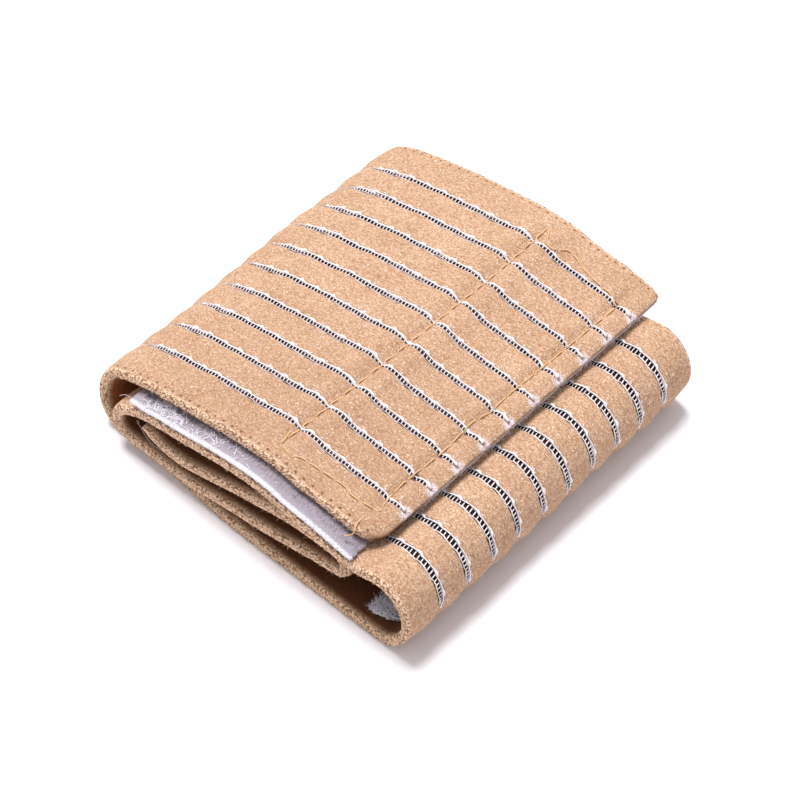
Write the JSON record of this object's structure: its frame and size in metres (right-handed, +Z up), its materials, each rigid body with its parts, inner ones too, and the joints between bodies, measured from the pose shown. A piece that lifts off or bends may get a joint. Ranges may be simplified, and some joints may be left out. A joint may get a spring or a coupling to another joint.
{
  "type": "wrist wrap",
  "caption": "Knitted elastic wrist wrap folded into a flat packet, closed by a hook patch under its top flap, with a fleece patch in the open fold.",
  "frame": {"origin": "middle of the packet's bounding box, on the surface that it lies on", "axes": "+X from the left folds towards the open fold at the right, +Y from the front selvedge towards the back one, +Z up"},
  "size_m": [0.0768, 0.0788, 0.0222],
  "materials": {
    "knit": "fuzzy tan elastic knit with openwork stripes",
    "hook_tape": "white woven tape with small stiff hooks",
    "fleece": "brushed white loop fleece"
  },
  "bodies": {
    "root": {"wrap_band": "knit", "hook_patch": "hook_tape", "loop_patch": "fleece"}
  },
  "joints": []
}
